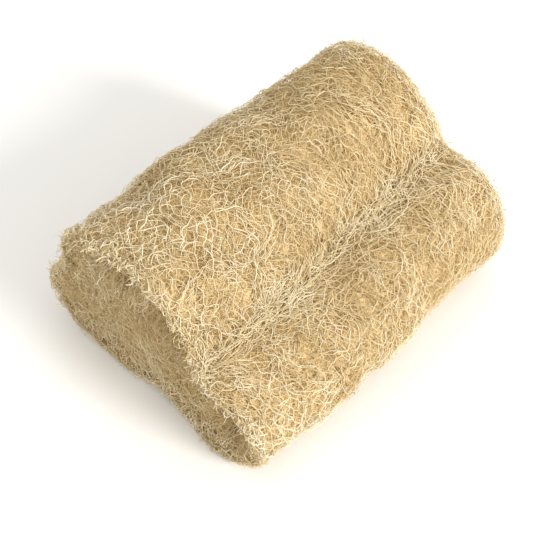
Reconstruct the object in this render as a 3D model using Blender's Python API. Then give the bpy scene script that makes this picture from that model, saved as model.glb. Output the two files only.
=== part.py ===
"""Natural loofah sponge: a cut length of the dried gourd's fibre skeleton, squashed flat and lying down.

Units are metres, +Z is up and +X runs along the gourd, from the slanted cut at -X to the straight one.
The origin is on the surface that it lies on, at the middle of its bounding box. Across the gourd, -Y is
the low lobe and +Y the tall lobe with its spread base fold.

The skin of the sponge is a net: strands that mostly run round the gourd and fork every few millimetres.
Here it is raised in relief from one solid, larger than life, as a lattice of six-sided meshes whose floors
are sunk between the strands. The three seed channels run right through from cut to cut.
"""

import math

import bmesh
import bpy
import numpy as np
from mathutils import Matrix, Vector

MM = 0.001
OBJECT_NAME = "loofah_sponge"

# Driving dimensions of the cut length
LENGTH = 157 * MM            # at the low lobe, where the slanted cut reaches furthest
CUT_SLANT = 0.6 * MM         # how far the underside of the slanted cut stays behind its top
CUT_SETBACK = 4.5 * MM       # how far that cut falls back at the tall lobe's outer side
CUT_BEND = 2.0 * MM          # how far that cut bends in and out across its width
CUT_HOLLOW = 2.5 * MM        # how deep both cut faces are dished in their middle
RIM_RADII = (4.5 * MM, 6.5 * MM)    # rounding from the skin over into the slanted and the straight cut
SIDE_BULGE = (2.1 * MM, 0.0)         # swelling half way along, at the low lobe and at the tall one

# Lobes of the squashed section at the slanted cut and at the straight cut, in millimetres:
# centre across, centre up, half width, half height
TALL_LOBE = ((17, 39, 45, 34), (12, 43.5, 38, 40))
LOW_LOBE = ((-31, 19.5, 32, 20.5), (-37, 27, 25.5, 27))
BASE_FOLD = ((38.5, 19.5, 27.5, 18.5), (17.5, 24.5, 32, 26))
BELLY = ((-2.5, 24, 43, 21.5), (-9.5, 24, 40, 30))
SECTION_CENTRE = ((-5, 27), (-10, 28))

# How softly each lobe runs into the ones before it
LOW_LOBE_CREASE = 5 * MM
BASE_FOLD_CREASE = 12 * MM
BELLY_CREASE = 6 * MM

# Slow lumps in the skin: height, waves round the gourd, waves along it, phase
FOLD_NOTCH = (8 * MM, 0.26, 0.18, 0.20)    # depth, angle, half width and reach along the gourd
LUMPS = ((1.0 * MM, 5, 1.5, 0.4), (0.7 * MM, 8, -2.5, 2.1), (0.5 * MM, 3, 4.0, 4.0))

# The raised net
MESHES_AROUND = 20
MESHES_ALONG = 14
MESH_DEPTH = 2.6 * MM
FLOOR_SHARE = 0.64           # size of a mesh's sunk floor against the mesh, which leaves its strands
ZIGZAG = 0.17                # how far a strand steps aside at each fork, in meshes along
STRAY_ALONG = 0.10           # how far a fork strays from its even place, in meshes along
STRAY_AROUND = 0.27          # and round the gourd, in steps between forks
NET_SEED = 11
SECTION_STEPS = 720

# The flat spot that it rests on, under its weight: the plain stretch of skin between the two lobes
REST_SPOT_HALF = (26 * MM, 17 * MM)
REST_SPOT_CENTRE = (6 * MM, 0.0)

# Seed channels in millimetres: across and up at the slanted cut, then at the straight cut, half width,
# half height, and turn of the flattened hole in degrees
SEED_CHANNELS = {
    "upper_channel": ((18, 59), (13, 60), 7.0, 5.0, -10),
    "middle_channel": ((-9, 47), (16, 27), 6.5, 4.0, -35),
    "lower_channel": ((-42, 23), (-36, 29), 6.5, 5.0, -20),
}
CHANNEL_SIDES = 10
CHANNEL_OVERRUN = 15 * MM

# Dried loofah fibre: pale straw, with no gloss
STRAW_COLOUR = (0.617, 0.456, 0.246, 1.0)
STRAW_ROUGHNESS = 0.85


def between(pair, along):
    """Return the value part way from the slanted cut's to the straight cut's, in metres."""
    near, far = (np.asarray(values, dtype=float) * MM for values in pair)
    return near + (far - near) * np.asarray(along)[..., None]


def lobe_gap(across, up, lobe, along):
    """Return how far points lie outside a lobe's ellipse, below zero inside it."""
    sizes = between(lobe, along)
    centre_across, centre_up, half_width, half_height = np.moveaxis(sizes, -1, 0)
    reach = np.hypot((across - centre_across) / half_width, (up - centre_up) / half_height)
    return (reach - 1) * np.minimum(half_width, half_height)


def joined(gap_a, gap_b, crease):
    """Return the gap to two shapes joined with a rounded crease between them."""
    share = np.clip(0.5 + 0.5 * (gap_b - gap_a) / crease, 0, 1)
    return gap_b * (1 - share) + gap_a * share - crease * share * (1 - share)


def section_gap(across, up, along):
    """Return how far points lie outside the squashed section at a place along the gourd."""
    gap = lobe_gap(across, up, TALL_LOBE, along)
    gap = joined(gap, lobe_gap(across, up, LOW_LOBE, along), LOW_LOBE_CREASE)
    gap = joined(gap, lobe_gap(across, up, BASE_FOLD, along), BASE_FOLD_CREASE)
    return joined(gap, lobe_gap(across, up, BELLY, along), BELLY_CREASE)


def skin_radius(angle, along):
    """Return the distance from the section's centre out to the skin, found by halving."""
    centre = between(SECTION_CENTRE, along)
    inner = np.zeros(np.shape(angle))
    outer = np.full(np.shape(angle), LENGTH)
    for _ in range(30):
        middle = (inner + outer) / 2
        across = centre[..., 0] + middle * np.cos(angle)
        up = centre[..., 1] + middle * np.sin(angle)
        inside = section_gap(across, up, along) < 0
        inner = np.where(inside, middle, inner)
        outer = np.where(inside, outer, middle)
    lumps = sum(height * np.sin(around * angle + math.tau * waves * along + phase)
                for height, around, waves, phase in LUMPS)
    return outer + lumps - fold_notch(angle, along)


def fold_notch(angle, along):
    """Return the dent where the tall lobe's outer side folds in at the slanted cut, fading along it."""
    depth, middle, half_width, reach = FOLD_NOTCH
    away = np.remainder(angle - middle + math.pi, math.tau) - math.pi
    return depth * np.exp(-(away / half_width) ** 2 - (along / reach) ** 2)


def cut_places(across, up):
    """Return where the slanted cut and the straight cut stand along X for points of the section."""
    fall = np.clip((across - 12 * MM) / (40 * MM), 0, 1)
    setback = CUT_SETBACK * fall * fall * (3 - 2 * fall)
    setback = setback + CUT_BEND * (0.8 + np.sin(math.pi * (across + 20 * MM) / (50 * MM)))
    slanted = -LENGTH / 2 + CUT_SLANT * (1 - up / (84 * MM)) + setback
    return slanted, np.full(np.shape(across), LENGTH / 2)


def face_rings(rim_radius):
    """Return a cut face's rings from its middle over its rim: depth, inset, reach and slope."""
    right = math.pi / 2
    return [(CUT_HOLLOW, rim_radius, 0.32, right), (CUT_HOLLOW * 0.8, rim_radius, 0.58, right),
            (CUT_HOLLOW * 0.3, rim_radius, 0.82, right), (0, rim_radius, 1.0, right)]


def net_rings():
    """Return the net's rings from the slanted cut's middle over the skin to the straight cut's middle.

    The columns are: place along, depth in from the nearer cut, inset from the skin, reach out from the
    section's centre, and slope, from 0 on the skin to a right angle on a cut face.
    """
    near = [(0.0, *ring) for ring in face_rings(RIM_RADII[0])]
    far = [(1.0, *ring) for ring in face_rings(RIM_RADII[1])[::-1]]
    steps = np.linspace(0, 1, MESHES_ALONG + 1)
    skin = [(step, np.interp(step, (0, 1), RIM_RADII), 0.0, 1.0, 0.0) for step in steps]
    return np.array(near + skin + far)


def even_angle(turn):
    """Return the angle of each part of the way round, measured along the skin of the middle section."""
    angles = np.linspace(0, math.tau, SECTION_STEPS + 1)
    halfway = np.full(angles.shape, 0.5)
    radius = skin_radius(angles, halfway)
    step = np.hypot(np.diff(radius * np.cos(angles)), np.diff(radius * np.sin(angles)))
    walked = np.concatenate([[0], np.cumsum(step)]) / step.sum()
    whole = np.floor(turn)
    return math.tau * whole + np.interp(turn - whole, walked, angles)


def net_points(where, turn, sunk=0.0):
    """Return points of the net's surface, sunk below it by a depth.

    Where counts rings, with parts of a step between them, and turn is the part of the way round the
    skin. A point lies on its ray at the skin's distance less the ring's inset, times its
    reach, and lengthwise between the two cuts, each moved inwards by the ring's depth.
    """
    rings = net_rings()
    columns = (np.interp(where, np.arange(len(rings)), column) for column in rings.T)
    along, depth, inset, reach, slope = columns
    depth = depth + sunk * np.sin(slope)
    inward = sunk * np.cos(slope)
    angle = even_angle(turn)
    centre = between(SECTION_CENTRE, along)
    radius = (skin_radius(angle, along) - inset) * reach - inward
    across = centre[..., 0] + radius * np.cos(angle)
    up = np.maximum(centre[..., 1] + radius * np.sin(angle), inward)
    swell = np.where(across < 0, SIDE_BULGE[0], SIDE_BULGE[1]) * np.sin(math.pi * along)
    across = across + swell * across / (50 * MM)
    slanted, straight = cut_places(across, up)
    start = slanted + depth
    return np.stack([start + (straight - depth - start) * along, across, up], axis=-1)


def fork_counts():
    """Return the number of forks in each ring: half as many in the two middle rings of a cut face."""
    counts = np.full(len(net_rings()), 2 * MESHES_AROUND)
    counts[[0, 1, -2, -1]] = MESHES_AROUND
    return counts


def fork_places():
    """Return each ring's forks as (where, turn), zigzagging and strayed from their even places."""
    rng = np.random.default_rng(NET_SEED)
    counts = fork_counts()
    places = []
    for number, count in enumerate(counts):
        fork = np.arange(count)
        aside = np.where((fork + number) % 2 == 0, ZIGZAG, -ZIGZAG) + rng.uniform(-1, 1, count) * STRAY_ALONG
        if number in (0, len(counts) - 1):
            aside = np.zeros(count)
        turn = (fork + rng.uniform(-1, 1, count) * STRAY_AROUND) / count
        places.append(np.stack([number + aside, turn], axis=-1))
    return places


def mesh_corners(number, counts):
    """Return the corners of each mesh between a ring and the next, as (ring, fork) pairs.

    A mesh takes three forks from each ring, or two from a ring with half as many forks.
    """
    below, above = counts[number], counts[number + 1]
    count = max(below, above)
    start = number % 2 if below == above else 0
    meshes = []
    for first in range(start, count + start, 2):
        three = [first, first + 1, first + 2]
        two = [first // 2, first // 2 + 1]
        lower = [(number, fork) for fork in (three if below == count else two)]
        upper = [(number + 1, fork) for fork in (three if above == count else two)]
        meshes.append(lower + upper[::-1])
    return meshes


def is_rest_spot(points):
    """Return whether a mesh lies flat on the ground within the spot under the weight."""
    offset = np.abs(points.mean(axis=0)[:2] - REST_SPOT_CENTRE)
    return bool(np.all(points[:, 2] < 1e-7) and np.all(offset < REST_SPOT_HALF))


def sponge_mesh():
    """Return the sponge's mesh: a closed net of meshes, each sunk between its strands."""
    counts = fork_counts()
    places = fork_places()
    crests = [net_points(*ring.T) for ring in places]
    bm = bmesh.new()
    verts = [[bm.verts.new(point) for point in ring] for ring in crests]
    for number in range(len(counts) - 1):
        for corners in mesh_corners(number, counts):
            indices = [(ring, fork % counts[ring], fork // counts[ring]) for ring, fork in corners]
            rim = [verts[ring][fork] for ring, fork, _ in indices]
            crest = np.array([crests[ring][fork] for ring, fork, _ in indices])
            outline = np.array([places[ring][fork] + (0, wrap) for ring, fork, wrap in indices])
            if is_rest_spot(crest):
                bm.faces.new(rim)
                continue
            middle = outline.mean(axis=0)
            inner = middle + (outline - middle) * FLOOR_SHARE
            floor = [bm.verts.new(point) for point in net_points(*inner.T, MESH_DEPTH)]
            for side in range(len(rim)):
                after = (side + 1) % len(rim)
                bm.faces.new((rim[side], rim[after], floor[after], floor[side]))
            bm.faces.new(floor)
    bm.faces.new(verts[0][::-1])
    bm.faces.new(verts[-1])
    bmesh.ops.triangulate(bm, faces=bm.faces[:])
    bmesh.ops.recalc_face_normals(bm, faces=bm.faces[:])
    mesh = bpy.data.meshes.new(OBJECT_NAME)
    bm.to_mesh(mesh)
    bm.free()
    return mesh


def channel_cutter(name, near, far, half_width, half_height, turn):
    """Return a flattened many-sided cutter that runs past both cuts along a seed channel."""
    start = Vector((-LENGTH / 2, near[0] * MM, near[1] * MM))
    stop = Vector((LENGTH / 2, far[0] * MM, far[1] * MM))
    lengthwise = (stop - start).normalized()
    slant = math.radians(turn)
    upwards = lengthwise.cross(Vector((0, math.cos(slant), math.sin(slant)))).normalized()
    sideways = upwards.cross(lengthwise)
    bpy.ops.mesh.primitive_cylinder_add(vertices=CHANNEL_SIDES, radius=1, depth=1)
    cutter = bpy.context.object
    cutter.name = name
    cutter.scale = (half_width * MM, half_height * MM, LENGTH + 2 * CHANNEL_OVERRUN)
    bpy.ops.object.transform_apply(location=False, rotation=False, scale=True)
    axes = Matrix((sideways, upwards, lengthwise)).transposed()
    cutter.matrix_world = Matrix.Translation((start + stop) / 2) @ axes.to_4x4()
    cutter.hide_render = True
    cutter.display_type = 'WIRE'
    return cutter


def straw_material():
    """Return the dried fibre's material."""
    material = bpy.data.materials.new("dried_loofah_fibre")
    material.use_nodes = True
    shader = material.node_tree.nodes["Principled BSDF"]
    shader.inputs["Base Color"].default_value = STRAW_COLOUR
    shader.inputs["Roughness"].default_value = STRAW_ROUGHNESS
    shader.inputs["Metallic"].default_value = 0.0
    return material


def collection_named(name):
    """Return a new collection in the scene."""
    collection = bpy.data.collections.new(name)
    bpy.context.scene.collection.children.link(collection)
    return collection


def move_to(collection, piece):
    """Put an object in one collection alone."""
    for old in list(piece.users_collection):
        old.objects.unlink(piece)
    collection.objects.link(piece)


def build():
    """Clear the scene and build the sponge with its seed channels cut through."""
    for old in list(bpy.data.objects):
        bpy.data.objects.remove(old, do_unlink=True)
    parts = collection_named(OBJECT_NAME)
    cutters = collection_named("seed_channel_cutters")
    sponge = bpy.data.objects.new(OBJECT_NAME, sponge_mesh())
    sponge.data.materials.append(straw_material())
    parts.objects.link(sponge)
    for name, sizes in SEED_CHANNELS.items():
        move_to(cutters, channel_cutter(name, *sizes))
    cut = sponge.modifiers.new("seed_channels", 'BOOLEAN')
    cut.operation = 'DIFFERENCE'
    cut.operand_type = 'COLLECTION'
    cut.collection = cutters
    cut.solver = 'EXACT'


build()
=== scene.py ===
"""Looks of a natural loofah sponge: thousands of dried fibres netted over a squashed gourd skeleton."""
import math

import bpy
import numpy as np
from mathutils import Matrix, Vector


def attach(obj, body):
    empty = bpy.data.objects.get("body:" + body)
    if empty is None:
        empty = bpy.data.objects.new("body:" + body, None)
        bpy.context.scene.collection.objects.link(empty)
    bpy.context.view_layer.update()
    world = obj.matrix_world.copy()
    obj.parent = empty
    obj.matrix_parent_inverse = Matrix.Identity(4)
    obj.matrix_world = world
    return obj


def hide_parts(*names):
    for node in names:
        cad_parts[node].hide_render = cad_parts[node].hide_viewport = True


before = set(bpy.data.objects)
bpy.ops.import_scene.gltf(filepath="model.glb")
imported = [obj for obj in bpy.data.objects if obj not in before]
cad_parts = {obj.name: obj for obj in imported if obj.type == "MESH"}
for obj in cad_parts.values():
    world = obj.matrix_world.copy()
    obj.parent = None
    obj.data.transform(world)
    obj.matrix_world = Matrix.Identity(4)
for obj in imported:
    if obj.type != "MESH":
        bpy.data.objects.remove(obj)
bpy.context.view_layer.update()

MM = 0.001

# The squashed gourd, as the frame's solid has it
LENGTH = 157 * MM
HEIGHT = 84 * MM

# The slanted cut: how far its lower edge stands back, how far its side with the tall lobe does, where that
# begins and how wide it is, and its bend across, a sine wave from a place with a half period and a level
CUT_SLANT = 0.6 * MM
CUT_SETBACK = 4.5 * MM
CUT_FALL = (12 * MM, 40 * MM)
CUT_BEND = 2.0 * MM
CUT_WAVE = (20 * MM, 50 * MM, 0.8)

# Both cuts: radii of their rims, and depth of their dish, with its shares at reaches from the middle
RIM_RADII = (4.5 * MM, 6.5 * MM)
CUT_HOLLOW = 2.5 * MM
DISH = ((0.32, 0.58, 0.82, 1.0), (1, 0.8, 0.3, 0))

# The section's lobes in mm: centre across, centre up, half width and half height at the slanted cut and at
# the straight cut, then its centre at both, and how wide the rounded creases are that join the lobes
TALL_LOBE = ((17, 39, 45, 34), (12, 43.5, 38, 40))
LOW_LOBE = ((-31, 19.5, 32, 20.5), (-37, 27, 25.5, 27))
BASE_FOLD = ((38.5, 19.5, 27.5, 18.5), (17.5, 24.5, 32, 26))
BELLY = ((-2.5, 24, 43, 21.5), (-9.5, 24, 40, 30))
SECTION_CENTRE = ((-5, 27), (-10, 28))
LOW_LOBE_CREASE = 5 * MM
BASE_FOLD_CREASE = 12 * MM
BELLY_CREASE = 6 * MM

# The skin: swell of the sides of negative and of positive Y half way along, at a distance across, then the
# notch's depth, angle, half width in radians and share of the length, and the lumps, each with height,
# waves round, waves along and phase
SIDE_BULGE = (2.1 * MM, 0.0)
BULGE_AT = 50 * MM
FOLD_NOTCH = (8 * MM, 0.26, 0.18, 0.20)
LUMPS = ((1.0 * MM, 5, 1.5, 0.4), (0.7 * MM, 8, -2.5, 2.1), (0.5 * MM, 3, 4.0, 4.0))

# Rings along the skin between its rims, steps round the middle section, and halvings that find a radius
MESHES_ALONG = 14
SECTION_STEPS = 720
HALVINGS = 18

# Hollows that the seed channels leave in the cuts, wider than the solid's holes: across and up at the
# slanted cut, then at the straight cut, half width, half height, turn in degrees, and depth
SEED_CHANNELS = (
    ((19, 60), (13, 60), 11.0, 7.0, -15, 13),
    ((-7, 50), (16, 27), 13.0, 9.0, 35, 13),
    ((-43, 23), (-36, 29), 8.5, 7.5, -20, 12),
)

# Way round the skin and from rim to rim, which the fibres are laid out on
GIRTH = 372 * MM
RIM_ARCS = [radius * math.pi / 2 for radius in RIM_RADII]
SKIN_RUN = LENGTH - sum(RIM_RADII)
FIRST_SKIN_RING = 6

# The net packed under the skin: how deep it lies, and its rows and columns of points
CORE_DEPTH = 3.0 * MM
CORE_ROWS = 80
CORE_COLUMNS = 180

# Patterns of the materials, in features to a metre: patches 20 mm wide, bends of the packed net's strands
# 2.9 mm long, and its meshes 1.2 mm wide
PATCHES = 50.0
BENDS = 350.0
MESHES = 850.0

# All fibres: spread of their bend in radians, length of their weave in mm, how far their ends dive, how much
# their tips narrow, the middle of the body that they face away from, and how high off the ground they stay
BEND_SPREAD = 0.8
WEAVE_PERIOD = (5, 9)
END_DIVE = 1.1 * MM
TIP_TAPER = 0.65
MIDDLE = (0.0, 0.0, 0.03)
LOWEST_POINT = 0.3 * MM

# Skin: where along it painted shade begins to darken the fibres towards the straight cut and what share of
# their tone is left at the far end, lengths of the slow drifts in mm and their height, and the share and
# seed of the drift that lifts the fibres
FAR_SHADE_FROM = 0.3
FAR_SHADE_TO = 0.62
DRIFT_PERIOD = (11, 34)
DRIFT_HEIGHT = 0.6 * MM
LIFT_SHARE = 0.35
LIFT_SEED = 7
FLOW_SEED = 5

# Loose fibres of the skin: name, seed, fibres, points of each, length and thickness in mm, level and weave
# in mm, spread of their headings round the gourd in radians, curl, and tone from 0 dark to 1 pale. The deep
# and middle layers' darker tones are painted shade under the layers over them
SKIN_LAYERS = (
    ("skin_fibres_deep", 1, 2100, 6, (9, 20), (0.34, 0.70), (-2.4, -1.5), 0.4, 0.9, 0.25, (0.1, 0.5)),
    ("skin_fibres_middle", 2, 3200, 8, (8, 18), (0.24, 0.50), (-1.5, -0.5), 0.4, 0.65, 0.28, (0.1, 0.6)),
    ("skin_fibres_outer", 3, 2950, 9, (6, 14), (0.20, 0.46), (-0.5, 0.3), 0.35, 0.5, 0.24, (0.5, 1.0)),
    ("skin_fibres_crest", 4, 1600, 10, (6, 13), (0.20, 0.40), (0.0, 0.8), 0.4, 0.6, 0.30, (0.68, 0.98)),
)

# Forked nets of the skin: name, seed, strand spacing, length of a mesh, slant as a slope, level and
# thickness in mm, and tones. The net under gets darker tones as painted shade beneath the outer one
STRAND_NETS = (
    ("forked_net_under", 21, 2.2, 10.0, 0.18, -0.9, (0.26, 0.50), (0.1, 0.6)),
    ("forked_net_outer", 22, 2.3, 9.5, -0.10, 0.0, (0.22, 0.44), (0.6, 1.0)),
)

# Nets of the cuts: name, seed, cut, count, length in mm, curl, level, thickness and tone. Their low, narrow
# tones are painted shade of the slanted cut, which faces away from the key light; the straight cut shares
# them
FACE_NETS = (
    ("slanted_cut_felt", 11, 0, 1500, (8, 16), 0.5, (-1.0, 0.0), (0.24, 0.46), (0.38, 0.54)),
    ("slanted_cut_net", 12, 0, 420, (9, 18), 0.9, (-0.3, 0.9), (0.26, 0.46), (0.42, 0.66)),
    ("straight_cut_felt", 13, 1, 1100, (8, 16), 0.5, (-1.0, 0.0), (0.24, 0.46), (0.38, 0.54)),
    ("straight_cut_net", 14, 1, 350, (9, 18), 0.9, (-0.3, 0.9), (0.26, 0.46), (0.42, 0.66)),
)

# Strands of the valley between the lobes: name, seed, count, place, spread, slant, level, thickness, tone.
# The felt's lower tones are painted shade of the valley on the low lobe's side
VALLEY_STRANDS = (
    ("valley_ridge", 31, 44, -0.5, 0.6, 0.05, (0.0, 0.8), (0.28, 0.44), (0.5, 0.9)),
    ("valley_felt", 32, 260, 4.5, 2.8, 0.60, (-0.1, 0.9), (0.22, 0.38), (0.42, 0.7)),
    ("valley_stitches", 33, 420, -2.6, 2.2, 1.4, (0.2, 1.3), (0.24, 0.40), (0.6, 0.92)),
)

# Walks of the loose fibres: length of their waves, how far from the slanted cut they curl more, how far
# they lean, in mm, and how proud they may stand
SKIN_WAVE = 13 * MM
CURLY_REACH = 25 * MM
LEAN = 0.35
PROUDEST = 1.9 * MM

# Strands of the forked nets: points of each, least length of a step, share left out, swing in strand
# spacings, weave over and under, unevenness in mm, and how many times as far they drift along as round
NET_STEPS = 19
NET_STEP = 1.25 * MM
LEFT_OUT = 0.07
NET_SWING = 0.56
NET_WEAVE = 0.35 * MM
NET_UNEVEN = 0.25
DRIFT_ALONG = 1.6

# Strands of the valley: points of each, length in mm, waves and weave
VALLEY_STEPS = 12
VALLEY_LENGTH = (14, 38)
VALLEY_WAVE = 20 * MM
VALLEY_WEAVE = 0.3 * MM

# Fibres of the cuts: points of each, waves, weave, width and height that they are drawn over in mm, how far
# inside the outline they start, and what is left of the height of some, with the shares of both kinds
FACE_STEPS = 8
FACE_WAVE = 9 * MM
FACE_WEAVE = 0.5 * MM
FACE_ACROSS = (-66, 70)
FACE_UP = (0, 84)
FACE_INSET = 1 * MM
LOW_STARTS = (1, 0.06)
LOW_SHARES = (0.85, 0.15)

# Curls of the rims: name, seed, cut and count, then points of each, length, thickness and spread over the
# rim in mm, tone, turn in radians, and the heights between which they grow from a share to full length
RIM_CURLS = (("slanted_rim_curls", 41, 0, 1000), ("straight_rim_curls", 42, 1, 450))
CURL_STEPS = 11
CURL_LENGTH = (2.6, 6.4)
CURL_THICKNESS = (0.26, 0.50)
CURL_SPREAD = 1.6
CURL_TONES = (0.4, 1.0)
CURL_TURN = (0.8, 5.5)
CURL_HEIGHTS = (6 * MM, 45 * MM)
LOW_CURL = 0.55

# Camera: the photograph's view, 533 pixels square
IMAGE_SIDE = 533
FOCAL_PIXELS = 1312
TARGET = Vector((0.002, 0.001, 0.025))
TARGET_PIXEL = (281.6, 252)
CAMERA_ELEVATION = 49.1
CAMERA_AZIMUTH = -47.6
CAMERA_DISTANCE = 0.560
SENSOR = 36


def between(pair, along):
    """Return the value part way from the slanted cut's to the straight cut's, in metres."""
    near, far = (np.asarray(values, dtype=float) * MM for values in pair)
    return near + (far - near) * np.asarray(along)[..., None]


def lobe_gap(across, up, lobe, along):
    """Return how far points lie outside a lobe's ellipse: (scaled distance - 1) x the smaller half size."""
    centre_across, centre_up, half_width, half_height = np.moveaxis(between(lobe, along), -1, 0)
    reach = np.hypot((across - centre_across) / half_width, (up - centre_up) / half_height)
    return (reach - 1) * np.minimum(half_width, half_height)


def joined(gap_a, gap_b, crease):
    """Return the gap to two shapes joined by a smooth minimum with a rounded crease."""
    share = np.clip(0.5 + 0.5 * (gap_b - gap_a) / crease, 0, 1)
    return gap_b * (1 - share) + gap_a * share - crease * share * (1 - share)


def section_gap(across, up, along):
    """Return how far points lie outside the squashed section."""
    gap = lobe_gap(across, up, TALL_LOBE, along)
    gap = joined(gap, lobe_gap(across, up, LOW_LOBE, along), LOW_LOBE_CREASE)
    gap = joined(gap, lobe_gap(across, up, BASE_FOLD, along), BASE_FOLD_CREASE)
    return joined(gap, lobe_gap(across, up, BELLY, along), BELLY_CREASE)


def skin_radius(angle, along):
    """Return the section's radius at an angle, found by halving, plus a few slow sine lumps."""
    centre = between(SECTION_CENTRE, along)
    inner = np.zeros(np.shape(angle))
    outer = np.full(np.shape(angle), LENGTH)
    for _ in range(HALVINGS):
        middle = (inner + outer) / 2
        inside = section_gap(centre[..., 0] + middle * np.cos(angle),
                             centre[..., 1] + middle * np.sin(angle), along) < 0
        inner = np.where(inside, middle, inner)
        outer = np.where(inside, outer, middle)
    lumps = sum(height * np.sin(around * angle + math.tau * waves * along + phase)
                for height, around, waves, phase in LUMPS)
    return outer + lumps - fold_notch(angle, along)


def fold_notch(angle, along):
    """Return the dent where the tall lobe's side folds in at the slanted cut, two bell curves' product."""
    depth, middle, half_width, reach = FOLD_NOTCH
    away = np.remainder(angle - middle + math.pi, math.tau) - math.pi
    return depth * np.exp(-(away / half_width) ** 2 - (along / reach) ** 2)


def cut_places(across, up):
    """Return where the slanted and the straight cut stand along X. The slanted one leans, is set back by
    a smooth step on the tall lobe's side, and bends as a sine wave across."""
    fall = np.clip((across - CUT_FALL[0]) / CUT_FALL[1], 0, 1)
    setback = CUT_SETBACK * fall * fall * (3 - 2 * fall)
    begin, half_period, level = CUT_WAVE
    setback = setback + CUT_BEND * (level + np.sin(math.pi * (across + begin) / half_period))
    slanted = -LENGTH / 2 + CUT_SLANT * (1 - up / HEIGHT) + setback
    return slanted, np.full(np.shape(across), LENGTH / 2)


def channel_depth(across, up, along):
    """Return the seed channels' hollows in the cuts: depth x exp(-(scaled distance squared) to 1.5)."""
    depth = np.zeros(np.shape(across))
    for near, far, half_width, half_height, turn, deep in SEED_CHANNELS:
        centre = between((near, far), np.round(along))
        slant = math.radians(turn)
        aside, above = across - centre[..., 0], up - centre[..., 1]
        wide = (aside * math.cos(slant) + above * math.sin(slant)) / (half_width * MM)
        tall = (above * math.cos(slant) - aside * math.sin(slant)) / (half_height * MM)
        depth = depth + deep * MM * np.exp(-(wide ** 2 + tall ** 2) ** 1.5)
    return depth


def face_rings(rim_radius):
    """Return a cut's rings from its middle over its rim, an arc of two steps: depth, inset, reach, slope."""
    right = math.pi / 2
    turn = rim_radius * (1 - math.sqrt(0.5))
    dish = [(CUT_HOLLOW * share, rim_radius, reach, right) for reach, share in zip(*DISH)]
    return [(CUT_HOLLOW, rim_radius, 0.0, right), *dish, (turn, turn, 1.0, right / 2)]


def ring_values():
    """Return the rings from cut to cut: place along, depth, inset, reach and slope, as columns."""
    near = [(0.0, *ring) for ring in face_rings(RIM_RADII[0])]
    far = [(1.0, *ring) for ring in face_rings(RIM_RADII[1])[::-1]]
    steps = np.linspace(0, 1, MESHES_ALONG + 1)
    skin = [(step, np.interp(step, (0, 1), RIM_RADII), 0.0, 1.0, 0.0) for step in steps]
    return np.array(near + skin + far)


def angle_table():
    """Return the way walked round the middle section's skin against the angle, both from 0 to full."""
    angles = np.linspace(0, math.tau, SECTION_STEPS + 1)
    radius = skin_radius(angles, np.full(angles.shape, 0.5))
    step = np.hypot(np.diff(radius * np.cos(angles)), np.diff(radius * np.sin(angles)))
    return np.concatenate([[0], np.cumsum(step)]) / step.sum(), angles


RINGS = ring_values()
WALKED, ANGLES = angle_table()


def surface(where, turn, sunk):
    """Return points of the sponge's surface: ring (with parts), way round (0 to 1), depth below it.

    A point lies on its ray from the section's centre at (skin radius - inset) x reach - depth inwards,
    and between the two cuts lengthwise, each moved in by the ring's depth and its channels' hollows.
    Its sides swell by half a sine wave from cut to cut, in proportion to how far across they are.
    """
    along, depth, inset, reach, slope = (np.interp(where, np.arange(len(RINGS)), column)
                                         for column in RINGS.T)
    whole = np.floor(turn)
    angle = math.tau * whole + np.interp(turn - whole, WALKED, ANGLES)
    inward = sunk * np.cos(slope)
    centre = between(SECTION_CENTRE, along)
    radius = (skin_radius(angle, along) - inset) * reach - inward
    across = centre[..., 0] + radius * np.cos(angle)
    up = np.maximum(centre[..., 1] + radius * np.sin(angle), inward)
    swell = np.where(across < 0, SIDE_BULGE[0], SIDE_BULGE[1]) * np.sin(math.pi * along)
    across = across + swell * across / BULGE_AT
    slanted, straight = cut_places(across, up)
    depth = depth + (sunk + channel_depth(across, up, along)) * np.sin(slope)
    start = slanted + depth
    return np.stack([start + (straight - depth - start) * along, across, up], axis=-1)


def skin_ring(run):
    """Return the ring number of a distance from the slanted cut's rim, counted on past both rims."""
    first, last = FIRST_SKIN_RING, FIRST_SKIN_RING + MESHES_ALONG
    return np.interp(run, (-RIM_ARCS[0], 0, SKIN_RUN, SKIN_RUN + RIM_ARCS[1]),
                     (first - 2, first, last, last + 2))


def skin_place(around, run, lift):
    """Return points on the skin from the way round and along in metres, and how far they stand proud."""
    places = surface(skin_ring(run), around / GIRTH, -lift)
    places[..., 2] = np.maximum(places[..., 2], LOWEST_POINT)
    return places


def face_place(end):
    """Return a function that lays points given across and up on a cut, bent over its rounded rim."""
    rim_radius = RIM_RADII[end]

    def place(across, up, lift):
        along = np.full(across.shape, float(end))
        centre = between(SECTION_CENTRE, along)
        aside, above = across - centre[..., 0], up - centre[..., 1]
        angle = np.arctan2(above, aside)
        edge = skin_radius(angle, along) - rim_radius
        radius = np.minimum(np.hypot(aside, above), edge + 0.9 * rim_radius)
        across = centre[..., 0] + radius * np.cos(angle)
        up = np.maximum(centre[..., 1] + radius * np.sin(angle), LOWEST_POINT)
        dish = np.interp(radius / edge, *DISH) * CUT_HOLLOW
        over = np.maximum(radius - edge, 0)
        turned = rim_radius - np.sqrt(rim_radius ** 2 - over ** 2)
        depth = dish + turned + channel_depth(across, up, along) - lift
        cut = cut_places(across, up)[end]
        return np.stack([cut + (depth if end == 0 else -depth), across, up], axis=-1)
    return place


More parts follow.
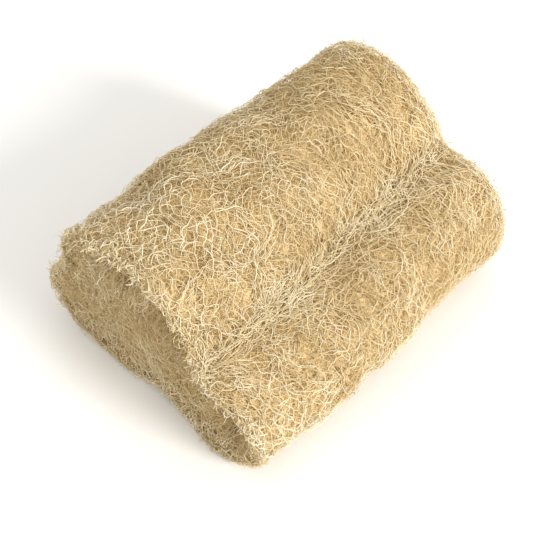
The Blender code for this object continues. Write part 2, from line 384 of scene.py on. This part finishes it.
def walk(rng, start, heading, length, steps, wave, sway):
    """Return flat paths: from a start, each step turns by two sine waves of the way gone plus a bend."""
    count = len(length)
    part = np.linspace(0, 1, steps)[None, :]
    gone = part * length[:, None]
    angle = heading[:, None] + rng.normal(0, BEND_SPREAD, (count, 1)) * (part - 0.5)
    for share in (1.0, 0.45):
        period = wave * share * rng.uniform(0.7, 1.5, (count, 1))
        phase = rng.uniform(0, math.tau, (count, 1))
        angle = angle + sway * rng.uniform(0.4, 1.3, (count, 1)) * np.sin(math.tau * gone / period + phase)
    step = length[:, None] / (steps - 1)
    first = start[0][:, None] + np.cumsum(np.cos(angle) * step, axis=1)
    second = start[1][:, None] + np.cumsum(np.sin(angle) * step, axis=1)
    return first, second, gone


def lifts(rng, gone, level, weave):
    """Return how proud each path stands: its level, a sine weave over and under, and sunk ends."""
    count = len(gone)
    part = gone / gone[:, -1:]
    phase = rng.uniform(0, math.tau, (count, 1))
    period = rng.uniform(*WEAVE_PERIOD, (count, 1)) * MM
    sunk_ends = np.abs(2 * part - 1) ** 5
    return level[:, None] + weave * np.sin(math.tau * gone / period + phase) - END_DIVE * sunk_ends


def linked(name, data):
    """Return a new object made of a mesh, light or camera, linked to the scene."""
    made = bpy.data.objects.new(name, data)
    bpy.context.collection.objects.link(made)
    return made


def fibre_mesh(name, paths, thickness, tones):
    """Return an object of three-sided tapering tubes, each carried along one path of an array.

    Corners stand round each path point at 90, 210 and 330 degrees from a side direction, which is tangent
    x the way out from the body's middle, towards the normal. The mesh keeps a tone for each fibre and an
    even strip of the bake map.
    """
    count, steps = paths.shape[:2]
    tangent = np.gradient(paths, axis=1)
    tangent /= np.linalg.norm(tangent, axis=-1, keepdims=True) + 1e-12
    outward = paths - np.array(MIDDLE)
    outward[..., 0] *= 0.35
    side = np.cross(tangent, outward)
    side /= np.linalg.norm(side, axis=-1, keepdims=True) + 1e-12
    normal = np.cross(side, tangent)
    part = np.linspace(0, 1, steps)
    taper = 1 - TIP_TAPER * np.abs(2 * part - 1) ** 6
    radius = (thickness[:, None] / 2 * taper)[..., None]
    corners = [paths + radius * (side * math.cos(turn) + normal * math.sin(turn))
               for turn in (math.pi / 2, math.pi * 7 / 6, math.pi * 11 / 6)]
    verts = np.stack(corners, axis=2).reshape(-1, 3)
    index = np.arange(count * steps * 3).reshape(count, steps, 3)
    after = np.roll(index, -1, axis=2)
    sides = np.stack([index[:, :-1], after[:, :-1], after[:, 1:], index[:, 1:]], axis=-1).reshape(-1, 4)
    caps = np.concatenate([index[:, 0, ::-1], index[:, -1]])
    mesh = bpy.data.meshes.new(name)
    mesh.vertices.add(len(verts))
    mesh.vertices.foreach_set("co", verts.astype(np.float32).ravel())
    loops = np.concatenate([sides.ravel(), caps.ravel()])
    sizes = np.concatenate([np.full(len(sides), 4), np.full(len(caps), 3)])
    mesh.loops.add(len(loops))
    mesh.loops.foreach_set("vertex_index", loops.astype(np.int32))
    mesh.polygons.add(len(sizes))
    mesh.polygons.foreach_set("loop_start", (np.cumsum(sizes) - sizes).astype(np.int32))
    mesh.update(calc_edges=True)
    mesh.shade_smooth()
    tone = mesh.attributes.new("tone", 'FLOAT', 'POINT')
    tone.data.foreach_set("value", np.repeat(tones, steps * 3).astype(np.float32))
    bake_strips(mesh, count, steps)
    return linked(name, mesh)


def bake_strips(mesh, count, steps):
    """Give each fibre its own cell of a square grid in a map for baking: along it in U, round it in V."""
    cells = math.ceil(math.sqrt(count))
    fibre = np.arange(count)
    low_u, low_v = (fibre % cells) / cells, (fibre // cells) / cells
    margin, room = 0.1 / cells, 0.8 / cells
    step = np.arange(steps) / (steps - 1)
    corner_u = low_u[:, None, None] + margin + room * step[None, :, None]
    u0 = np.broadcast_to(corner_u[:, :-1], (count, steps - 1, 3))
    u1 = np.broadcast_to(corner_u[:, 1:], (count, steps - 1, 3))
    v0 = low_v[:, None, None] + margin + room * np.arange(3) / 3 + np.zeros((count, steps - 1, 1))
    v1 = v0 + room / 3
    sides = np.stack([np.stack([u0, v0], -1), np.stack([u0, v1], -1),
                      np.stack([u1, v1], -1), np.stack([u1, v0], -1)], axis=3).reshape(-1, 2)
    tip = np.array([(0, 0), (0.05, 0), (0, 0.05)]) / cells
    caps = [np.stack([low_u, low_v], -1)[:, None] + tip + np.array((shift, 0.02)) / cells
            for shift in (0.02, 0.5)]
    layer = mesh.uv_layers.new(name="OFBake")
    layer.data.foreach_set("uv", np.concatenate([sides, *(cap.reshape(-1, 2) for cap in caps)])
                           .astype(np.float32).ravel())


def linear(hex_colour):
    """Return an sRGB hex colour as linear RGBA."""
    parts = [int(hex_colour[place:place + 2], 16) / 255 for place in (1, 3, 5)]
    return [part / 12.92 if part <= 0.04045 else ((part + 0.055) / 1.055) ** 2.4 for part in parts] + [1]


def add_node(tree, kind, links=None, **settings):
    """Add a node to a tree, set its properties or sockets, and link its named inputs."""
    node = tree.nodes.new(kind)
    for name, value in settings.items():
        if hasattr(node, name):
            setattr(node, name, value)
        else:
            node.inputs[name.replace("_", " ")].default_value = value
    for name, source in (links or {}).items():
        tree.links.new(source, node.inputs[name])
    return node


def new_material(name):
    """Return a new material with its node tree and Principled shader."""
    material = bpy.data.materials.new(name)
    material.use_nodes = True
    return material, material.node_tree, material.node_tree.nodes["Principled BSDF"]


def ramp(tree, source, stops):
    """Return the colour output of a ramp with stops of (place, hex colour)."""
    node = add_node(tree, "ShaderNodeValToRGB", {"Fac": source})
    elements = node.color_ramp.elements
    while len(elements) < len(stops):
        elements.new(0.5)
    for element, (place, colour) in zip(elements, stops):
        element.position = place
        element.color = linear(colour)
    return node.outputs["Color"]


def dried_fibre(name, stops):
    """Dried loofah fibre, retted and sun bleached: each strand has its own straw tone, a little duller
    in patches some 20 mm wide, with a faint waxy gloss. The tone also holds painted shade: lower for strands
    lying deeper, towards the straight cut, on the cuts and in the valley's felt."""
    material, tree, shader = new_material(name)
    tone = add_node(tree, "ShaderNodeAttribute", attribute_name="tone")
    place = add_node(tree, "ShaderNodeTexCoord")
    patches = add_node(tree, "ShaderNodeTexNoise", {"Vector": place.outputs["Object"]},
                       Scale=PATCHES, Detail=2.0)
    mixed = add_node(tree, "ShaderNodeMath", {0: tone.outputs["Fac"], 1: patches.outputs["Fac"]},
                     operation='ADD')
    half = add_node(tree, "ShaderNodeMath", {0: mixed.outputs[0]}, operation='MULTIPLY')
    half.inputs[1].default_value = 0.5
    tree.links.new(ramp(tree, half.outputs[0], stops), shader.inputs["Base Color"])
    shader.inputs["Roughness"].default_value = 0.55
    shader.inputs["Specular IOR Level"].default_value = 0.35
    return material


def packed_net():
    """The net packed under the skin, darker than the fibres over it as painted shade deep under them:
    strands about 1.2 mm apart, with brown painted shade in the gaps between them.
    """
    material, tree, shader = new_material("packed_loofah_net")
    place = add_node(tree, "ShaderNodeTexCoord")
    bend = add_node(tree, "ShaderNodeTexNoise", {"Vector": place.outputs["Object"]}, Scale=BENDS)
    moved = add_node(tree, "ShaderNodeVectorMath", {0: bend.outputs["Color"]}, operation='SCALE')
    moved.inputs["Scale"].default_value = 2.5 * MM
    where = add_node(tree, "ShaderNodeVectorMath", {0: place.outputs["Object"], 1: moved.outputs[0]},
                     operation='ADD')
    net = add_node(tree, "ShaderNodeTexVoronoi", {"Vector": where.outputs[0]},
                   feature='DISTANCE_TO_EDGE', Scale=MESHES)
    # Pale along the strands, brown in the middle of each mesh: painted shade in the gaps
    colour = ramp(tree, net.outputs["Distance"], [(0.0, "#E4CE9C"), (0.1, "#CFB37E"), (0.32, "#B28E58")])
    tree.links.new(colour, shader.inputs["Base Color"])
    shader.inputs["Roughness"].default_value = 0.8
    bump = add_node(tree, "ShaderNodeBump", {"Height": net.outputs["Distance"]}, invert=True)
    bump.inputs["Distance"].default_value = 1.0 * MM
    bump.inputs["Strength"].default_value = 0.8
    tree.links.new(bump.outputs["Normal"], shader.inputs["Normal"])
    return material


def packed_core():
    """The net packed under the skin: the body's surface sunk a few millimetres, closed at both poles."""
    where = np.linspace(0, len(RINGS) - 1, CORE_ROWS)[1:-1, None]
    turn = np.arange(CORE_COLUMNS)[None, :] / CORE_COLUMNS
    where, turn = np.broadcast_arrays(where, turn)
    grid = surface(where, turn, np.full(where.shape, CORE_DEPTH))
    poles = [grid[0].mean(axis=0), grid[-1].mean(axis=0)]
    verts = np.concatenate([grid.reshape(-1, 3), poles])
    index = np.arange(grid.shape[0] * CORE_COLUMNS).reshape(-1, CORE_COLUMNS)
    after = np.roll(index, -1, axis=1)
    quads = np.stack([index[:-1], after[:-1], after[1:], index[1:]], axis=-1).reshape(-1, 4)
    near = [(len(verts) - 2, after[0, at], index[0, at]) for at in range(CORE_COLUMNS)]
    far = [(len(verts) - 1, index[-1, at], after[-1, at]) for at in range(CORE_COLUMNS)]
    mesh = bpy.data.meshes.new("packed_core")
    mesh.from_pydata(verts.tolist(), [], quads.tolist() + near + far)
    mesh.shade_smooth()
    return linked("packed_core", mesh)


def uniform(rng, span, count):
    """Return random values over a span."""
    return rng.uniform(span[0], span[1], count)


def skewed(rng, span, count):
    """Return random values over a span, most of them near its low end."""
    return span[0] + (span[1] - span[0]) * rng.random(count) ** 2.5


def painted_far_shade(run):
    """Return the share of their tone that fibres keep: painted shade, darker towards the straight cut."""
    return np.interp(run, (FAR_SHADE_FROM * SKIN_RUN, SKIN_RUN), (1, FAR_SHADE_TO))


def skin_layer(name, seed, count, steps, length, thickness, level, weave, spread, curl, tones):
    """Lay fibres over the skin, most of them round the gourd, as wavy walks on its unrolled surface.
    They curl up to twice as much near the slanted cut, and each leans, one end up and the other down."""
    rng = np.random.default_rng(seed)
    start = rng.uniform(0, GIRTH, count), rng.uniform(-RIM_ARCS[0], SKIN_RUN + RIM_ARCS[1], count)
    heading = flow(*start) + rng.normal(0, spread, count) + rng.choice((0, math.pi), count)
    more = 1 + np.exp(-((start[1] / CURLY_REACH) ** 2))[:, None]
    first, second, gone = walk(rng, start, heading, uniform(rng, length, count) * MM, steps,
                               SKIN_WAVE, curl * more)
    second = np.clip(second, -RIM_ARCS[0], SKIN_RUN + RIM_ARCS[1])
    lift = lifts(rng, gone, uniform(rng, level, count) * MM, weave * MM)
    lean = rng.exponential(LEAN, (count, 1)) * MM * rng.choice((-1, 1), (count, 1))
    lift = lift + lean * (2 * gone / gone[:, -1:] - 1)
    lift = np.minimum(lift, PROUDEST) + LIFT_SHARE * drift(first, second, LIFT_SEED)
    paths = skin_place(first, second, lift)
    # Darker towards the straight cut: painted shade
    tone = uniform(rng, tones, count) * painted_far_shade(start[1])
    return fibre_mesh(name, paths, skewed(rng, thickness, count) * MM, tone)


def drift(first, second, seed):
    """Return a smooth drift over the skin, the same wherever its seed is used: a sum of six plane waves."""
    rng = np.random.default_rng(seed)
    total = np.zeros(first.shape)
    for _ in range(6):
        turn, period = rng.uniform(0, math.tau), rng.uniform(*DRIFT_PERIOD) * MM
        wave = (first * math.cos(turn) + second * math.sin(turn)) / period
        total = total + DRIFT_HEIGHT * np.sin(math.tau * wave + rng.uniform(0, math.tau))
    return total


def flow(first, second):
    """Return the heading that fibres follow at places of the skin, in radians from round the gourd."""
    return drift(first, 0.6 * second, FLOW_SEED) / (2.4 * MM) - 0.15


def strand_net(name, seed, spacing, mesh_length, slope, level, thickness, tones):
    """Net strands round the gourd that fork and join: neighbours are sine waves half a turn apart, so
    crest meets trough and the gaps between them are meshes. Each is cut into lengths that overlap."""
    rng = np.random.default_rng(seed)
    spacing, mesh_length, level = spacing * MM, mesh_length * MM, level * MM
    length = NET_STEP * (NET_STEPS - 1)
    rows = int((SKIN_RUN + sum(RIM_ARCS) + abs(slope) * GIRTH) / spacing)
    pieces = int(GIRTH / length)
    row = np.repeat(np.arange(rows), pieces)
    start = np.tile(np.arange(pieces), rows) * GIRTH / pieces
    around = start[:, None] + np.linspace(-0.02, 1.02, NET_STEPS)[None, :] * GIRTH / pieces
    swing = np.sin(math.tau * around / mesh_length + math.pi * row[:, None])
    run = (row[:, None] * spacing - RIM_ARCS[0] - max(slope, 0) * GIRTH + slope * around
           + NET_SWING * spacing * swing)
    kept = (run.min(axis=1) > -RIM_ARCS[0]) & (run.max(axis=1) < SKIN_RUN + RIM_ARCS[1])
    kept &= rng.random(len(row)) > LEFT_OUT
    around, run = around[kept], run[kept]
    shift = DRIFT_ALONG * drift(around, run, seed + 1)
    around, run = around + drift(around, run, seed), run + shift
    count = len(run)
    weave = np.sin(math.tau * around / mesh_length + rng.uniform(-0.6, 0.6, (count, 1)))
    lift = level + NET_WEAVE * weave + rng.normal(0, NET_UNEVEN, (count, 1)) * MM
    lift = lift + LIFT_SHARE * drift(around, run, LIFT_SEED)
    paths = skin_place(around, np.clip(run, -RIM_ARCS[0], SKIN_RUN + RIM_ARCS[1]), lift)
    # Darker towards the straight cut: painted shade
    tone = uniform(rng, tones, count) * painted_far_shade(run[:, 0])
    return fibre_mesh(name, paths, skewed(rng, thickness, count) * MM, tone)


def valley_way():
    """Return the way round the skin to the valley between the lobes at both cuts."""
    angles = np.linspace(math.pi / 2, math.pi * 0.95, 90)
    ways = []
    for along in (0.02, 0.98):
        deepest = angles[np.argmin(skin_radius(angles, np.full(angles.shape, along)))]
        ways.append(np.interp(deepest, ANGLES, WALKED) * GIRTH)
    return ways


def valley_strands(name, seed, count, aside, spread, slant, level, thickness, tones):
    """Straight strands pressed together beside the valley between the two lobes, given how far towards
    the low lobe they lie and how widely they spread, both in mm, and how far they slant in radians. The
    more they slant, the shorter they are."""
    rng = np.random.default_rng(seed)
    run = rng.uniform(-3 * MM, SKIN_RUN, count)
    around = np.interp(run, (0, SKIN_RUN), valley_way()) + rng.normal(aside, spread, count) * MM
    length = uniform(rng, VALLEY_LENGTH, count) * MM * (1 - 0.75 * min(slant, 1))
    first, second, gone = walk(rng, (run, around), rng.normal(0, slant, count), length, VALLEY_STEPS,
                               VALLEY_WAVE, 0.2)
    lift = lifts(rng, gone, uniform(rng, level, count) * MM, VALLEY_WEAVE)
    paths = skin_place(second, np.clip(first, -RIM_ARCS[0], SKIN_RUN + RIM_ARCS[1]), lift)
    return fibre_mesh(name, paths, skewed(rng, thickness, count) * MM, uniform(rng, tones, count))


def rim_curls(name, seed, end, count):
    """Cut ends and loops that curl round a cut's rim: a start on the rim, then steps along a heading
    that turns about an axis of its own, by less than a whole turn, and leans outwards to begin with. Those
    low down are shorter."""
    rng = np.random.default_rng(seed)
    around = rng.uniform(0, GIRTH, count)
    run = rng.normal(-0.3, CURL_SPREAD, count) * MM - RIM_ARCS[0] / 2
    if end == 1:
        run = SKIN_RUN + RIM_ARCS[1] / 2 + rng.normal(0.3, CURL_SPREAD, count) * MM
    base = skin_place(around, run, rng.uniform(-1.2, 0.2, count) * MM)
    outward = base - np.array(MIDDLE)
    outward[:, 0] = (-1 if end == 0 else 1) * 45 * MM
    outward /= np.linalg.norm(outward, axis=-1, keepdims=True)
    axis = rng.normal(0, 1, (count, 3))
    axis /= np.linalg.norm(axis, axis=-1, keepdims=True)
    first = 0.3 * outward + rng.normal(0, 0.7, (count, 3))
    first -= axis * (first * axis).sum(axis=-1, keepdims=True)
    first /= np.linalg.norm(first, axis=-1, keepdims=True)
    second = np.cross(axis, first)
    turn = rng.uniform(*CURL_TURN, (count, 1)) * np.linspace(0, 1, CURL_STEPS)[None, :]
    heading = (first[:, None] * np.cos(turn)[..., None] + second[:, None] * np.sin(turn)[..., None]
               + 0.35 * axis[:, None])
    shorter = np.interp(base[:, 2], CURL_HEIGHTS, (LOW_CURL, 1))
    step = (uniform(rng, CURL_LENGTH, count) * shorter)[:, None, None] * MM / CURL_STEPS
    paths = base[:, None] + np.cumsum(heading * step, axis=1)
    paths[..., 2] = np.maximum(paths[..., 2], 0.4 * MM)
    return fibre_mesh(name, paths, skewed(rng, CURL_THICKNESS, count) * MM,
                      uniform(rng, CURL_TONES, count))


def face_layer(name, seed, end, count, length, curl, level, thickness, tones):
    """Lay fibres over a cut, in all directions, down into the seed channels' hollows. Some start within
    5 mm of the ground, where the cut rolls under."""
    rng = np.random.default_rng(seed)
    across, up = rng.uniform(*FACE_ACROSS, count * 3) * MM, rng.uniform(*FACE_UP, count * 3) * MM
    up = up * rng.choice(LOW_STARTS, count * 3, p=LOW_SHARES)
    inside = section_gap(across, up, np.full(across.shape, float(end))) < -FACE_INSET
    across, up = across[inside][:count], up[inside][:count]
    count = len(across)
    first, second, gone = walk(rng, (across, up), rng.uniform(0, math.tau, count),
                               uniform(rng, length, count) * MM, FACE_STEPS, FACE_WAVE, curl)
    lift = lifts(rng, gone, uniform(rng, level, count) * MM, FACE_WEAVE)
    paths = face_place(end)(first, second, lift)
    return fibre_mesh(name, paths, skewed(rng, thickness, count) * MM, uniform(rng, tones, count))


def dress():
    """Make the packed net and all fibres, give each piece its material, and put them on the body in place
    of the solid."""
    fibre = dried_fibre("dried_loofah_fibre", [(0.25, "#CDB07A"), (0.5, "#E6D1A3"), (0.75, "#FFF6DC")])
    pieces = [packed_core()]
    pieces[0].data.materials.append(packed_net())
    fibres = [skin_layer(*layer) for layer in SKIN_LAYERS]
    fibres += [strand_net(*net) for net in STRAND_NETS]
    fibres += [valley_strands(*strands) for strands in VALLEY_STRANDS]
    fibres += [face_layer(*net) for net in FACE_NETS]
    fibres += [rim_curls(*curls) for curls in RIM_CURLS]
    for piece in fibres:
        piece.data.materials.append(fibre)
    pieces += fibres
    for piece in pieces:
        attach(piece, "root")
        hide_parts("loofah_sponge")


def add_sun(name, direction, strength, spread, colour):
    """Add a distant light that shines from a direction, with its spread in degrees."""
    data = bpy.data.lights.new(name, 'SUN')
    data.energy = strength
    data.angle = math.radians(spread)
    data.color = linear(colour)[:3]
    linked(name, data).rotation_euler = Vector(direction).to_track_quat('Z', 'Y').to_euler()


def studio():
    """Plain pale floor, a soft key light from low right of the view, and an even pale surround."""
    bpy.ops.mesh.primitive_plane_add(size=6)
    floor = bpy.context.object
    floor.name = "floor"
    material, _, shader = new_material("white_paper")
    shader.inputs["Base Color"].default_value = linear("#FAFAFA")
    shader.inputs["Roughness"].default_value = 0.9
    floor.data.materials.append(material)
    add_sun("key", (0.13, -0.90, 0.43), 2.85, 18, "#FFFDF9")
    world = bpy.data.worlds.new("surround")
    world.use_nodes = True
    world.node_tree.nodes["Background"].inputs["Color"].default_value = linear("#FFFDF8")
    world.node_tree.nodes["Background"].inputs["Strength"].default_value = 0.94
    bpy.context.scene.world = world
    bpy.context.scene.view_settings.view_transform = 'Standard'


def camera():
    """Set the camera at the photograph's view of the sponge."""
    lean, turn = math.radians(CAMERA_ELEVATION), math.radians(CAMERA_AZIMUTH)
    back = Vector((math.sin(turn) * math.cos(lean), -math.cos(turn) * math.cos(lean), math.sin(lean)))
    data = bpy.data.cameras.new("camera")
    data.sensor_width = SENSOR
    data.lens = SENSOR * FOCAL_PIXELS / IMAGE_SIDE
    data.shift_x = (IMAGE_SIDE / 2 - TARGET_PIXEL[0]) / IMAGE_SIDE
    data.shift_y = (TARGET_PIXEL[1] - IMAGE_SIDE / 2) / IMAGE_SIDE
    data.clip_start = 0.01
    view = linked("camera", data)
    view.location = TARGET + back * CAMERA_DISTANCE
    view.rotation_euler = back.to_track_quat('Z', 'Y').to_euler()
    bpy.context.scene.camera = view


camera()
dress()
studio()
